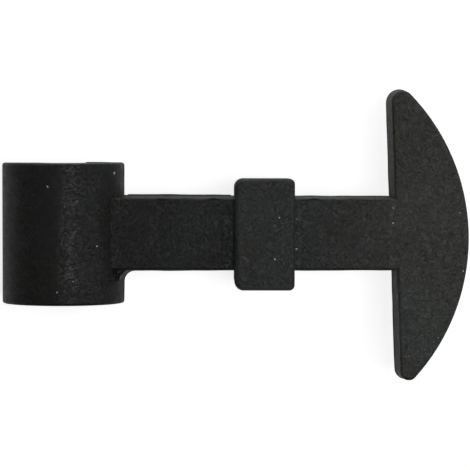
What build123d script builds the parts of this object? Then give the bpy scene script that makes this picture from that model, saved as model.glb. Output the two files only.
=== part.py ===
from build123d import *
import os
from math import sqrt

os.makedirs("parts", exist_ok=True)

# Rubber T draw latch: one compression-moulded rubber strap, in millimetres and degrees.
# The origin is the centre of the pivot bore. X runs along the strap to the handle,
# Y is the pivot axis and Z points out of the front face. The mould opens along Z and
# parts at Z = 0, so every upright wall is widest there and narrows by its draft.

# Barrel that swings on the pivot pin
barrel_diameter = 24.2
barrel_length = 28.0
barrel_end_draft = 1.0
barrel_end_round = 0.5
bore_diameter = 8.0
bore_lead_in = 0.6

# Strap between the barrel and the handle
strap_root_width = 15.0
strap_end_width = 14.8
strap_front_height = 7.0
strap_back_depth = 2.5
strap_draft = 3.6
strap_edge_round = 0.5

# Web that fills the root corner on one side of the strap
web_radius = 2.2
web_front_height = 5.0
web_draft = 8.0

# Shoulder block that drops behind the keeper's fork
keeper_face_distance = 34.1
block_length = 11.8
block_width = 21.9
block_front_rise = 2.4
block_back_rise = 2.4
block_keeper_corner_round = 1.8
block_handle_corner_round = 1.1
block_edge_round = 0.9

# T handle: a circular segment with rounded tips, its straight side towards the barrel
handle_edge_distance = 65.45
handle_depth = 15.2
handle_arc_radius = 41.3
handle_upper_tip_round = 2.6
handle_lower_tip_round = 2.1
handle_lean = 2.2
handle_draft = 3.6
handle_edge_round = 0.6

barrel_radius = barrel_diameter / 2
bore_radius = bore_diameter / 2
barrel_wall_middle = (barrel_radius + bore_radius) / 2


def drafted(plan, front_height, back_depth, draft):
    # Both halves start on the parting plane and narrow away from it
    front = extrude(plan, front_height, taper=draft)
    back = extrude(plan, -back_depth, taper=draft)
    return front + back


def round_outlines(solid, radius):
    # Rounds the edge of the front face and of the back face
    faces = solid.faces().sort_by(Axis.Z)
    return fillet(faces[0].edges() + faces[-1].edges(), radius)


def make_barrel():
    cylinder = extrude(Plane.XZ * Circle(barrel_radius), barrel_length / 2, both=True)
    plan = Rectangle(2 * barrel_diameter, barrel_length)
    barrel = cylinder & drafted(plan, barrel_radius, barrel_radius, barrel_end_draft)
    end_faces = barrel.faces().filter_by(GeomType.PLANE)
    return fillet(end_faces.edges(), barrel_end_round)


def make_bore():
    half = barrel_length / 2
    outline = Polyline(
        (0, 0),
        (bore_radius, 0),
        (bore_radius, half - bore_lead_in),
        (bore_radius + 2 * bore_lead_in, half + bore_lead_in),
        (0, half + bore_lead_in),
        close=True,
    )
    one_end = revolve(make_face(outline), Axis.Y)
    return one_end + mirror(one_end, Plane.XZ)


def make_strap():
    start = barrel_wall_middle
    end = handle_edge_distance + handle_depth / 2
    outline = Polyline(
        (start, -strap_root_width / 2),
        (end, -strap_end_width / 2),
        (end, strap_end_width / 2),
        (start, strap_root_width / 2),
        close=True,
    )
    strap = drafted(make_face(outline), strap_front_height, strap_back_depth, strap_draft)
    faces = strap.faces().sort_by(Axis.Z)
    sides = (faces[0].edges() + faces[-1].edges()).filter_by(lambda edge: abs(edge.tangent_at(0.5).X) > 0.9)
    return fillet(sides, strap_edge_round)


def make_root_web():
    side = -strap_root_width / 2
    corner = Pos(barrel_wall_middle, side) * Rectangle(
        barrel_radius - barrel_wall_middle + web_radius, 2 * web_radius, align=(Align.MIN, Align.CENTER)
    )
    hollow = Pos(barrel_radius + web_radius, side - web_radius) * Circle(web_radius)
    return drafted(corner - hollow, web_front_height, strap_back_depth, web_draft)


def make_block():
    front_height = strap_front_height + block_front_rise
    back_depth = strap_back_depth + block_back_rise
    plan = Pos(keeper_face_distance, 0) * Rectangle(
        block_length, block_width, align=(Align.MIN, Align.CENTER)
    )
    plan = fillet(plan.vertices().group_by(Axis.X)[0], block_keeper_corner_round)
    plan = fillet(plan.vertices().group_by(Axis.X)[-1], block_handle_corner_round)
    return round_outlines(drafted(plan, front_height, back_depth, 0), block_edge_round)


def make_handle():
    centre = handle_depth - handle_arc_radius
    half_chord = sqrt(handle_arc_radius**2 - centre**2)
    outer_edge = ThreePointArc((0, -half_chord), (handle_depth, 0), (0, half_chord))
    finger_edge = Line((0, half_chord), (0, -half_chord))
    plan = make_face(outer_edge + finger_edge)
    plan = fillet(plan.vertices().sort_by(Axis.Y)[-1], handle_upper_tip_round)
    plan = fillet(plan.vertices().sort_by(Axis.Y)[0], handle_lower_tip_round)
    plan = Pos(handle_edge_distance, 0) * Rot(0, 0, handle_lean) * plan
    handle = drafted(plan, strap_front_height, strap_back_depth, handle_draft)
    return round_outlines(handle, handle_edge_round)


moulding = make_barrel() + make_root_web() + make_strap() + make_block() + make_handle()
latch_strap = moulding - make_bore()
export_step(latch_strap, "parts/latch_strap.step")
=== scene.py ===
import math

import bpy
import numpy as np
from mathutils import Matrix, Vector


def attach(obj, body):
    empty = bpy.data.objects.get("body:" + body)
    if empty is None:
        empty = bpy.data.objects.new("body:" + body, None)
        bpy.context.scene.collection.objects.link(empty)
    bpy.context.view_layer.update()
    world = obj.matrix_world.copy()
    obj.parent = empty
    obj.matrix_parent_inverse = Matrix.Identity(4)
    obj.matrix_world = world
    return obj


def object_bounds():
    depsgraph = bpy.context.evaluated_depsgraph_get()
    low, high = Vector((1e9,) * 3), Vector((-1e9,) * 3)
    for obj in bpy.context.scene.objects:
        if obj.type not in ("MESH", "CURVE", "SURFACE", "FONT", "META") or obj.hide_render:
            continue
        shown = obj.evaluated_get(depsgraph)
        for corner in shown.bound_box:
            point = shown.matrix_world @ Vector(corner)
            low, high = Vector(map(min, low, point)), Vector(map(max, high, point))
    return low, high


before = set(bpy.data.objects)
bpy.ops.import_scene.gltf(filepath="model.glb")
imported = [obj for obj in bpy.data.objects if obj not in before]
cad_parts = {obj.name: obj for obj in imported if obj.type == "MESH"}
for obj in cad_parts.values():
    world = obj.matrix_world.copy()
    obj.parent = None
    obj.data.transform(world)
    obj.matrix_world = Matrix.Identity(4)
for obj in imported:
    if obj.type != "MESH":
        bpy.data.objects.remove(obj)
cadLow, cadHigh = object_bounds()
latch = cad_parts["latch_strap"]
mm = 0.001
print("frame loaded:", sorted(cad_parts))

cameraPlan = {
    "position": (30.0, 13.5, 350.0),
    "lookAt": (34.3, -0.41, 0.0),
    "rollDegrees": 0.12,
    "lens": 134.04,
    "sensor": 36.0,
    "near": 0.01,
    "far": 20.0,
}


def makeCamera(plan):
    data = bpy.data.cameras.new("camera")
    data.lens = plan["lens"]
    data.sensor_width = plan["sensor"]
    data.clip_start = plan["near"]
    data.clip_end = plan["far"]
    camera = bpy.data.objects.new("camera", data)
    bpy.context.collection.objects.link(camera)
    eye = Vector(plan["position"]) * mm
    ahead = (Vector(plan["lookAt"]) * mm - eye).normalized()
    right = ahead.cross(Vector((0, 1, 0))).normalized()
    aim = Matrix((right, right.cross(ahead), -ahead)).transposed()
    roll = Matrix.Rotation(math.radians(plan["rollDegrees"]), 3, "Z")
    camera.matrix_world = Matrix.Translation(eye) @ (aim @ roll).to_4x4()
    bpy.context.scene.camera = camera


makeCamera(cameraPlan)
print("camera placed")

def addNode(tree, kind, feeds=None, **settings):
    made = tree.nodes.new("ShaderNode" + kind)
    for key, value in settings.items():
        setattr(made, key, value)
    for socket, value in (feeds or {}).items():
        if isinstance(value, bpy.types.NodeSocket):
            tree.links.new(value, made.inputs[socket])
        else:
            made.inputs[socket].default_value = value
    return made


def calc(tree, operation, first, second=0.0, clamp=False):
    return addNode(tree, "Math", {0: first, 1: second}, operation=operation, use_clamp=clamp).outputs[0]


def remap(tree, value, low, high, toLow, toHigh, smooth=True):
    kind = "SMOOTHSTEP" if smooth else "LINEAR"
    feeds = {"Value": value, "From Min": low, "From Max": high, "To Min": toLow, "To Max": toHigh}
    return addNode(tree, "MapRange", feeds, interpolation_type=kind).outputs["Result"]


def noise(tree, place, scale, detail=2.0, roughness=0.5, distortion=0.0):
    feeds = {"Vector": place, "Scale": scale, "Detail": detail}
    feeds.update({"Roughness": roughness, "Distortion": distortion})
    return addNode(tree, "TexNoise", feeds).outputs["Fac"]


def mix(tree, factor, first, second, blend="MIX"):
    # sockets 6 and 7 are the two colours of the colour mix, and output 2 is its result
    made = addNode(tree, "Mix", data_type="RGBA", blend_type=blend)
    for socket, value in ((0, factor), (6, first), (7, second)):
        if isinstance(value, bpy.types.NodeSocket):
            tree.links.new(value, made.inputs[socket])
        else:
            made.inputs[socket].default_value = value
    return made.outputs[2]


def placeInMm(tree):
    spot = addNode(tree, "TexCoord").outputs["Object"]
    return addNode(tree, "VectorMath", {0: spot, "Scale": 1000.0}, operation="SCALE").outputs[0]


# every lamp is a soft box: a panel of the given size in mm, its middle at "at", facing the part
lampPlans = {
    "keyPanel": {"at": (203.0, 0.0, 679.0), "size": (260.0, 260.0), "power": 1.13},
    "rightPanel": {"at": (494.0, 0.0, 386.0), "size": (300.0, 260.0), "power": 0.43},
    "rightStrip": {"at": (621.0, 0.0, 125.0), "size": (500.0, 160.0), "power": 0.30},
    "upperStrip": {"at": (34.0, 593.0, 94.0), "size": (700.0, 160.0), "power": 2.3},
    "leftPanel": {"at": (-266.0, 0.0, 520.0), "size": (300.0, 260.0), "power": 0.10},
    "leftStrip": {"at": (-486.0, 0.0, 300.0), "size": (400.0, 200.0), "power": 0.06},
}
roomPlan = {
    "lampTarget": (34.0, 0.0, 0.0),
    "floorSize": 3.0,
    "floorColour": (0.8, 0.8, 0.8, 1.0),
    "floorRoughness": 0.9,
    "floorGlow": 0.75,
    "mirroredGlow": 0.10,
    "worldStrength": 0.02,
}


def makeLamp(name, plan):
    data = bpy.data.lights.new(name, "AREA")
    data.shape = "RECTANGLE"
    data.size = plan["size"][0] * mm
    data.size_y = plan["size"][1] * mm
    data.energy = plan["power"]
    lamp = bpy.data.objects.new(name, data)
    bpy.context.collection.objects.link(lamp)
    lamp.location = Vector(plan["at"]) * mm
    target = Vector(roomPlan["lampTarget"]) * mm
    lamp.rotation_euler = (target - lamp.location).to_track_quat("-Z", "Y").to_euler()


def makeFloor(plan):
    half = plan["floorSize"] / 2
    z = cadLow[2]
    mesh = bpy.data.meshes.new("floor")
    corners = [(-half, -half, z), (half, -half, z), (half, half, z), (-half, half, z)]
    mesh.from_pydata(corners, [], [(0, 1, 2, 3)])
    floor = bpy.data.objects.new("floor", mesh)
    bpy.context.collection.objects.link(floor)
    material = bpy.data.materials.new("palePaper")
    material.use_nodes = True
    tree = material.node_tree
    shader = tree.nodes["Principled BSDF"]
    shader.inputs["Base Color"].default_value = plan["floorColour"]
    shader.inputs["Roughness"].default_value = plan["floorRoughness"]
    shader.inputs["Emission Color"].default_value = (1, 1, 1, 1)
    rays = addNode(tree, "LightPath").outputs
    seen = calc(tree, "MULTIPLY", rays["Is Camera Ray"], plan["floorGlow"])
    mirrored = calc(tree, "ADD", rays["Is Glossy Ray"], rays["Is Transmission Ray"])
    mirrored = calc(tree, "MULTIPLY", mirrored, plan["mirroredGlow"])
    tree.links.new(calc(tree, "ADD", seen, mirrored), shader.inputs["Emission Strength"])
    mesh.materials.append(material)


def makeWorld(plan):
    world = bpy.data.worlds.new("studio")
    world.use_nodes = True
    background = world.node_tree.nodes["Background"]
    background.inputs["Color"].default_value = (1, 1, 1, 1)
    background.inputs["Strength"].default_value = plan["worldStrength"]
    bpy.context.scene.world = world


for lampName, lampPlan in lampPlans.items():
    makeLamp(lampName, lampPlan)
makeFloor(roomPlan)
makeWorld(roomPlan)
print("room ready:", len(lampPlans), "panels")

# the rubber: all lengths in mm, because the patterns run on object coordinates brought to mm
rubberPlan = {
    "darkColour": (0.0058, 0.0064, 0.0056, 1.0),
    # pale colour of the dust film, also used for the painted light along the strap and in the lighter
    # patches
    "bloomAndPaintedLightColour": (0.0600, 0.0660, 0.0600, 1.0),
    "warmTint": (1.04, 1.0, 0.90, 1.0),
    "coolTint": (0.95, 1.0, 1.05, 1.0),
    "specular": 0.3,
    "roughLow": 0.40,
    "roughHigh": 0.56,
    "barrelPolish": 0.10,
    "barrelEdge": 12.3,
    "cloud": (0.07, 1.0),  # noise patterns: scale per mm, detail, roughness, distortion
    "mottle": (0.55, 3.0, 0.55, 0.4),
    "grain": (2.2, 3.0, 0.6),
    "crease": (0.9, 4.0, 0.6, 1.6),
    "cloudShare": 1.2,
    "mottleShare": 2.0,
    "grainShare": 2.6,
    "creaseShare": 0.55,
    "grainHeight": 0.060,
    "mottleHeight": 0.080,
    "creaseHeight": 0.070,
    # painted light: the levels rise from the barrel towards the handle, painting in the brighter light on
    # the right-hand part over the dust film
    "bloomAndPaintedLightAlong": (  # place along the strap in mm, and level there
        (-12.0, 0.05), (12.0, 0.06), (20.0, 0.08), (24.0, 0.14), (33.2, 0.15), (33.5, 0.40), (45.9, 0.36),
        (46.2, 0.30), (52.0, 0.34), (62.0, 0.53), (65.0, 0.60), (66.0, 0.74), (81.0, 0.76),
    ),
    # painted light: lighter patches on the block's lower bevel (a painted highlight), and over the corner
    # right of the block and where the strap meets the handle (painted light over their shade)
    "paintedLightBands": (  # lowest and highest x, lowest and highest y, strength
        (33.6, 46.6, -11.5, -9.9, 1.20),
        (46.3, 47.3, -7.6, 7.6, 0.15),
        (64.4, 65.5, -7.6, 7.6, 0.30),
    ),
    "bandSoftness": 0.35,
    "creaseWidth": 0.05,
    "tintFrom": 0.38,
    "tintTo": 0.62,
    "roughFrom": 0.3,
    "roughTo": 0.7,
}


def paintedLightBand(tree, along, across, band, softness):
    # a soft-edged rectangle on the part: the product of four smooth steps, times its strength
    lowX, highX, lowY, highY, strength = band
    shape = remap(tree, along, lowX, lowX + softness, 0.0, strength)
    shape = calc(tree, "MULTIPLY", shape, remap(tree, along, highX - softness, highX, 1.0, 0.0))
    shape = calc(tree, "MULTIPLY", shape, remap(tree, across, lowY, lowY + softness, 0.0, 1.0))
    return calc(tree, "MULTIPLY", shape, remap(tree, across, highY - softness, highY, 1.0, 0.0))


def makeRubber(name, plan, lift=0.0):
    material = bpy.data.materials.new(name)
    material.use_nodes = True
    tree = material.node_tree
    shader = tree.nodes["Principled BSDF"]
    place = placeInMm(tree)
    axes = addNode(tree, "SeparateXYZ", {"Vector": place}).outputs
    cloud = noise(tree, place, *plan["cloud"])
    mottle = noise(tree, place, *plan["mottle"])
    grain = noise(tree, place, *plan["grain"])
    crease = noise(tree, place, *plan["crease"])
    line = calc(tree, "ABSOLUTE", calc(tree, "SUBTRACT", crease, 0.5))
    line = remap(tree, line, 0.0, plan["creaseWidth"], 0.0, 1.0)

    # whitish dust film and painted light: a level for each place along the strap, lowest on the barrel and
    # the left of the strap, higher on the block and highest on the handle as painted light, broken up by
    # cloud, mottle, grain and creases
    first, last = plan["bloomAndPaintedLightAlong"][0][0], plan["bloomAndPaintedLightAlong"][-1][0]
    share = remap(tree, axes["X"], first, last, 0.0, 1.0, smooth=False)
    ramp = addNode(tree, "ValToRGB", {"Fac": share})
    stops = ramp.color_ramp.elements
    for _ in plan["bloomAndPaintedLightAlong"][1:-1]:
        stops.new(0.5)
    for stop, (x, level) in zip(stops, plan["bloomAndPaintedLightAlong"]):
        stop.position = (x - first) / (last - first)
        stop.color = (level, level, level, 1.0)
    breakup = 1.0
    for pattern, weight in ((cloud, "cloudShare"), (mottle, "mottleShare"), (grain, "grainShare")):
        swing = calc(tree, "MULTIPLY", calc(tree, "SUBTRACT", pattern, 0.5), plan[weight])
        breakup = calc(tree, "ADD", swing, breakup)
    breakup = calc(tree, "ADD", breakup, remap(tree, line, 0.0, 1.0, plan["creaseShare"], 0.0))
    bloomAndPaintedLight = calc(tree, "ADD", ramp.outputs["Color"], lift)
    # painted light: the lighter patches from the plan are added to the level here
    for band in plan["paintedLightBands"]:
        bloomAndPaintedLight = calc(tree, "ADD", bloomAndPaintedLight, paintedLightBand(tree, axes["X"], axes["Y"], band, plan["bandSoftness"]))
    bloomAndPaintedLight = calc(tree, "MULTIPLY", bloomAndPaintedLight, breakup)
    bloomAndPaintedLight = calc(tree, "MAXIMUM", bloomAndPaintedLight, 0.0)
    coolness = remap(tree, cloud, plan["tintFrom"], plan["tintTo"], 0.0, 1.0)
    tint = mix(tree, coolness, plan["warmTint"], plan["coolTint"])
    # the base colour runs from dark rubber to the pale colour by this mask, which holds both the dust film
    # and the painted light
    colour = mix(tree, bloomAndPaintedLight, plan["darkColour"], plan["bloomAndPaintedLightColour"])
    tree.links.new(mix(tree, 1.0, colour, tint, "MULTIPLY"), shader.inputs["Base Color"])
    rough = remap(tree, mottle, plan["roughFrom"], plan["roughTo"], plan["roughLow"], plan["roughHigh"])
    polish = remap(tree, axes["X"], plan["barrelEdge"] - 1, plan["barrelEdge"], plan["barrelPolish"], 0.0)
    tree.links.new(calc(tree, "SUBTRACT", rough, polish), shader.inputs["Roughness"])
    shader.inputs["Specular IOR Level"].default_value = plan["specular"]

    # relief: soft mottle, creases where the distorted noise crosses its middle, fine grain
    relief = calc(tree, "MULTIPLY", mottle, plan["mottleHeight"])
    relief = calc(tree, "ADD", relief, calc(tree, "MULTIPLY", line, plan["creaseHeight"]))
    relief = calc(tree, "ADD", relief, calc(tree, "MULTIPLY", grain, plan["grainHeight"]))
    bump = addNode(tree, "Bump", {"Height": relief, "Strength": 1.0, "Distance": mm})
    tree.links.new(bump.outputs["Normal"], shader.inputs["Normal"])
    return material


rubber = makeRubber("mouldedRubber", rubberPlan)
latch.data.materials.clear()
latch.data.materials.append(rubber)
print("rubber made")


def smoothNoise(count, reach, seed):
    # white noise passed through a bell curve "reach" samples wide, brought to a spread of 1
    draws = np.random.default_rng(seed).normal(size=count + 6 * reach)
    bell = np.exp(-0.5 * (np.arange(-3 * reach, 3 * reach + 1) / reach) ** 2)
    smooth = np.convolve(draws, bell, "same")[3 * reach:3 * reach + count]
    return smooth / max(smooth.std(), 1e-9)


def makeMesh(name, vertices, faces, material):
    # turns the faces over if the closed surface has a negative volume
    corners = vertices[faces]
    volume = np.einsum("ij,ij->i", corners[:, 0], np.cross(corners[:, 1], corners[:, 2])).sum()
    if volume < 0:
        faces = faces[:, ::-1]
    mesh = bpy.data.meshes.new(name)
    mesh.from_pydata((vertices * mm).tolist(), [], faces.tolist())
    mesh.shade_smooth()
    mesh.materials.append(material)
    piece = bpy.data.objects.new(name, mesh)
    bpy.context.collection.objects.link(piece)
    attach(piece, "root")
    return piece


def ringFaces(rows, columns, offset=0):
    # triangles of a tube with its rows joined round, and a fan over each end row
    row, column = np.meshgrid(np.arange(rows - 1), np.arange(columns), indexing="ij")
    nextColumn = (column + 1) % columns
    a, b = row * columns + column, row * columns + nextColumn
    c, d = a + columns, b + columns
    side = np.concatenate([np.stack([a, b, d], -1).reshape(-1, 3), np.stack([a, d, c], -1).reshape(-1, 3)])
    fan = np.arange(1, columns - 1)
    first = np.stack([np.zeros_like(fan), fan + 1, fan], -1)
    last = (rows - 1) * columns + np.stack([np.zeros_like(fan), fan, fan + 1], -1)
    return np.concatenate([side, first, last]) + offset


def sweptTube(path, radius, squash, columns):
    # rings of the given radius round each path point, in the plane square to the path
    ahead = np.gradient(path, axis=0)
    ahead /= np.linalg.norm(ahead, axis=1, keepdims=True)
    up = np.array([0.0, 0.0, 1.0]) - ahead * ahead[:, 2:3]
    up /= np.linalg.norm(up, axis=1, keepdims=True)
    side = np.cross(ahead, up)
    turn = np.linspace(0, 2 * np.pi, columns, endpoint=False)
    ring = np.cos(turn)[None, :, None] * side[:, None] + squash * np.sin(turn)[None, :, None] * up[:, None]
    return (path[:, None] + radius[:, None, None] * ring).reshape(-1, 3)


# flash left by the mould along the upper front edge of the strap, in two runs either side of the block; it
# is coloured nearly pale as a painted highlight along that edge
edgeFlashPlan = {
    "runs": ((13.4, 34.3), (45.7, 65.2)),
    "middleY": (6.93, 6.87),
    "middleZ": 6.84,
    "radius": 0.13,
    "radiusSpread": 0.05,
    "wander": 0.06,
    "step": 0.12,
    "squash": 0.9,
    "columns": 8,
    "thinnest": 0.05,
    "seed": 11,
}


def makeEdgeFlash(plan, material):
    vertices, faces, base = [], [], 0
    for index, ((start, end), middleY) in enumerate(zip(plan["runs"], plan["middleY"])):
        count = int((end - start) / plan["step"])
        x = np.linspace(start, end, count)
        y = middleY + plan["wander"] * smoothNoise(count, 7, plan["seed"] + index)
        z = plan["middleZ"] + plan["wander"] * smoothNoise(count, 9, plan["seed"] + 10 + index)
        radius = plan["radius"] + plan["radiusSpread"] * smoothNoise(count, 5, plan["seed"] + 20 + index)
        # the radius tapers to both ends as the square root of half a sine wave
        taper = np.sqrt(np.sin(np.linspace(0.02, np.pi - 0.02, count)))
        radius = np.clip(radius, plan["thinnest"], None) * taper
        tube = sweptTube(np.stack([x, y, z], -1), radius, plan["squash"], plan["columns"])
        vertices.append(tube)
        faces.append(ringFaces(count, plan["columns"], base))
        base += len(tube)
    return makeMesh("edge_flash_painted_highlight", np.concatenate(vertices), np.concatenate(faces), material)


wornRubber = makeRubber("wornRubber", rubberPlan, lift=0.12)
# painted highlight: the rubber lifted nearly to its pale colour, for the bright line along the strap's
# upper edge
highlightPaintedRubber = makeRubber("highlightPaintedRubber", rubberPlan, lift=0.85)
makeEdgeFlash(edgeFlashPlan, highlightPaintedRubber)
print("edge flash made")

# parting fin: a thin diamond section carried along the solid's own edge at the parting plane
finPlan = {
    "width": 0.09,
    "widthSpread": 0.03,
    "wideFrom": (13.0, 6.0),
    "wideTo": (33.5, 8.0),
    "wideExtra": 0.17,
    "thickness": 0.11,
    "sunk": 0.12,
    "step": 0.25,
    "thinnest": 0.02,
    "planeReach": 0.002,
    "fewestPoints": 20,
    "seed": 31,
}


def partingChains(plan):
    # directed edges of the upper half that lie in the parting plane, put in order by doubling jumps
    mesh = latch.data
    mesh.calc_loop_triangles()
    spots = np.empty(len(mesh.vertices) * 3)
    mesh.vertices.foreach_get("co", spots)
    corners = np.empty(len(mesh.loop_triangles) * 3, dtype=np.int32)
    mesh.loop_triangles.foreach_get("vertices", corners)
    keys, same = np.unique(np.round(spots.reshape(-1, 3) / mm, 3), axis=0, return_inverse=True)
    triangles = same.reshape(-1)[corners].reshape(-1, 3)
    flat = np.abs(keys[:, 2]) < plan["planeReach"]
    upper = keys[triangles][:, :, 2].max(axis=1) > plan["planeReach"]
    edges = np.concatenate([triangles[:, [k, (k + 1) % 3]] for k in range(3)])
    keep = np.tile(upper, 3) & flat[edges].all(axis=1) & (edges[:, 0] != edges[:, 1])
    edges = edges[keep]
    follow = np.arange(len(keys))
    follow[edges[:, 0]] = edges[:, 1]
    steps = (follow != np.arange(len(keys))).astype(np.int64)
    jump = follow.copy()
    for _ in range(12):
        steps = steps + steps[jump]
        jump = jump[jump]
    members = np.unique(edges)
    members = members[follow[jump[members]] == jump[members]]
    chains = [members[jump[members] == end] for end in np.unique(jump[members])]
    return [keys[chain[np.argsort(-steps[chain])]] for chain in chains if len(chain) > plan["fewestPoints"]]


def makeFin(plan, material):
    vertices, faces, base = [], [], 0
    for index, chain in enumerate(partingChains(plan)):
        lengths = np.concatenate([[0.0], np.cumsum(np.linalg.norm(np.diff(chain, axis=0), axis=1))])
        count = int(lengths[-1] / plan["step"])
        at = np.linspace(0, lengths[-1], count)
        path = np.stack([np.interp(at, lengths, chain[:, k]) for k in range(3)], -1)
        ahead = np.gradient(path, axis=0)
        ahead /= np.linalg.norm(ahead, axis=1, keepdims=True)
        out = np.cross(ahead, [0.0, 0.0, 1.0])
        width = plan["width"] + plan["widthSpread"] * smoothNoise(count, 6, plan["seed"] + index)
        wide = ((path[:, :2] > plan["wideFrom"]) & (path[:, :2] < plan["wideTo"])).all(axis=1)
        width = np.clip(width + plan["wideExtra"] * wide, plan["thinnest"], None)
        up = np.array([0.0, 0.0, plan["thickness"]])
        rings = np.stack([path + out * width[:, None], path - out * plan["sunk"] + up,
                          path - out * 3 * plan["sunk"], path - out * plan["sunk"] - up], 1)
        vertices.append(rings.reshape(-1, 3))
        faces.append(ringFaces(count, 4, base))
        base += count * 4
    print("parting chains:", len(vertices))
    return makeMesh("parting_fin", np.concatenate(vertices), np.concatenate(faces), material)


makeFin(finPlan, wornRubber)
print("parting fin made")

# small marks, each (x, y, length, width, height, turn in degrees), laid on the surface below that place
specks = (
    (-2.0, 9.29, 0.6, 0.32, 0.08, 118), (10.49, 12.01, 0.56, 0.42, 0.096, 100),
    (7.3, -2.27, 0.39, 0.29, 0.064, 20), (2.82, -9.03, 0.31, 0.22, 0.048, 0),
    (-0.25, -11.13, 0.39, 0.26, 0.056, 40), (42.81, 3.31, 0.31, 0.26, 0.056, 0),
    (41.88, 1.73, 0.28, 0.2, 0.04, 30), (41.99, -4.71, 0.39, 0.34, 0.072, 0),
    (46.37, 2.97, 0.37, 0.31, 0.072, 60), (46.31, -2.9, 0.42, 0.32, 0.08, 10),
    (65.29, 2.24, 0.35, 0.22, 0.064, 0), (65.31, 5.22, 0.22, 0.17, 0.04, 0),
    (78.35, 4.32, 0.31, 0.26, 0.048, 0), (79.15, -7.2, 0.33, 0.22, 0.048, 80),
    (68.59, -23.93, 0.28, 0.19, 0.04, 0), (74.31, -20.31, 0.31, 0.17, 0.04, 70),
)
scratches = (
    (71.3, -8.0, 1.5, 0.13, 0.05, 46), (72.05, -7.35, 1.3, 0.11, 0.05, 44),
    (35.95, -4.5, 0.95, 0.3, 0.1, 142),
)
ridges = (
    (10.2, -8.05, 3.0, 0.42, 0.28, 4), (9.9, -8.75, 3.2, 0.36, 0.24, 2),
    (10.4, -9.45, 2.6, 0.4, 0.26, -6), (11.45, -8.6, 1.9, 0.42, 0.22, 74),
    (36.3, -9.2, 1.6, 0.34, 0.12, 150), (35.4, -8.6, 1.2, 0.3, 0.12, 120),
    (37.6, -9.7, 1.8, 0.34, 0.12, 168), (44.1, 7.9, 1.5, 0.28, 0.09, 20),
    (45.0, 8.5, 0.9, 0.24, 0.08, 60),
)


# scatters of flakes: ends of the line that they lie along, how far they stray, how many, largest length
flakeScatters = (
    {"start": (45.3, 1.2), "end": (45.9, -2.2), "stray": 0.45, "count": 26, "length": 0.22, "seed": 71},
    {"start": (71.5, 22.3), "end": (75.5, 16.8), "stray": 0.16, "count": 18, "length": 0.20, "seed": 72},
    {"start": (60.5, -1.5), "end": (62.5, 3.0), "stray": 1.20, "count": 9, "length": 0.15, "seed": 73},
)


def flakes(plan):
    rng = np.random.default_rng(plan["seed"])
    along = rng.uniform(size=(plan["count"], 1))
    start, end = np.array(plan["start"]), np.array(plan["end"])
    spots = start + along * (end - start) + rng.normal(scale=plan["stray"], size=(plan["count"], 2))
    lengths = plan["length"] * rng.uniform(0.45, 1.0, (plan["count"], 1))
    widths = lengths * rng.uniform(0.5, 0.9, (plan["count"], 1))
    turns = rng.uniform(0, 180, (plan["count"], 1))
    return np.hstack([spots, lengths, widths, 0.15 * lengths, turns])


domePlan = {
    "power": 0.7,
    "wobble": 0.18,
    "sunk": 0.02,
    "foot": 0.7,
    "footDepth": 0.15,
    "tip": 0.04,
    "seed": 50,
}


def domes(rows, around=14, rings=6):
    # a lens-shaped dome: height times (1 - r squared) to a power, over an oval, closed below the surface
    turn = np.linspace(0, 2 * np.pi, around, endpoint=False)
    reach = np.linspace(1.0, 0.0, rings)
    vertices, faces, base = [], [], 0
    surface = latch.evaluated_get(bpy.context.evaluated_depsgraph_get())
    for index, (x, y, length, width, height, angle) in enumerate(rows):
        hit, spot, normal, _ = surface.ray_cast(Vector((x * mm, y * mm, 0.05)), Vector((0, 0, -1)))
        if not hit:
            raise ValueError("mark off the part at %.2f, %.2f" % (x, y))
        spot, normal = np.array(spot) / mm, np.array(normal)
        flat = np.array([math.cos(math.radians(angle)), math.sin(math.radians(angle)), 0.0])
        flat -= normal * (flat @ normal)
        flat /= np.linalg.norm(flat)
        across = np.cross(normal, flat)
        wobble = 1.0 + domePlan["wobble"] * smoothNoise(around, 2, domePlan["seed"] + index)
        oval = (length / 2 * np.cos(turn) * wobble)[:, None] * flat
        oval = oval + (width / 2 * np.sin(turn) * wobble)[:, None] * across
        rise = height * (1 - reach ** 2) ** domePlan["power"] - domePlan["sunk"]
        shell = spot + reach[:, None, None] * oval[None] + rise[:, None, None] * normal
        below = spot + oval * domePlan["foot"] - normal * domePlan["footDepth"]
        tip = spot + domePlan["tip"] * oval + rise[-1] * normal
        stack = np.concatenate([below[None], shell[:-1], tip[None]])
        vertices.append(stack.reshape(-1, 3))
        faces.append(ringFaces(len(stack), around, base))
        base += len(stack) * around
    return np.concatenate(vertices), np.concatenate(faces)


dustPlan = {"flecksPerMm": 6.0, "dullShare": 0.45, "fleckFrom": 0.35, "fleckTo": 0.65}


def makeDust(name, colour, roughness):
    material = bpy.data.materials.new(name)
    material.use_nodes = True
    tree = material.node_tree
    shader = tree.nodes["Principled BSDF"]
    fleck = noise(tree, placeInMm(tree), dustPlan["flecksPerMm"], 2.0)
    dull = tuple(dustPlan["dullShare"] * c for c in colour[:3]) + (1.0,)
    share = remap(tree, fleck, dustPlan["fleckFrom"], dustPlan["fleckTo"], 0.0, 1.0)
    shade = mix(tree, share, dull, colour)
    tree.links.new(shade, shader.inputs["Base Color"])
    shader.inputs["Roughness"].default_value = roughness
    return material


dust = makeDust("chalkDust", (0.85, 0.85, 0.82, 1.0), 0.8)
scuffed = makeDust("scuffedRubber", (0.11, 0.115, 0.11, 1.0), 0.7)
makeMesh("dust_specks", *domes(specks), dust)
makeMesh("scratch_burrs", *domes(scratches), scuffed)
makeMesh("scuff_flakes", *domes(np.vstack([flakes(plan) for plan in flakeScatters]), 8, 4), scuffed)
makeMesh("moulding_ridges", *domes(ridges), wornRubber)
print("marks made:", len(specks), "specks,", len(scratches), "scratches,", len(ridges), "ridges")

bpy.context.scene.view_settings.view_transform = "Standard"
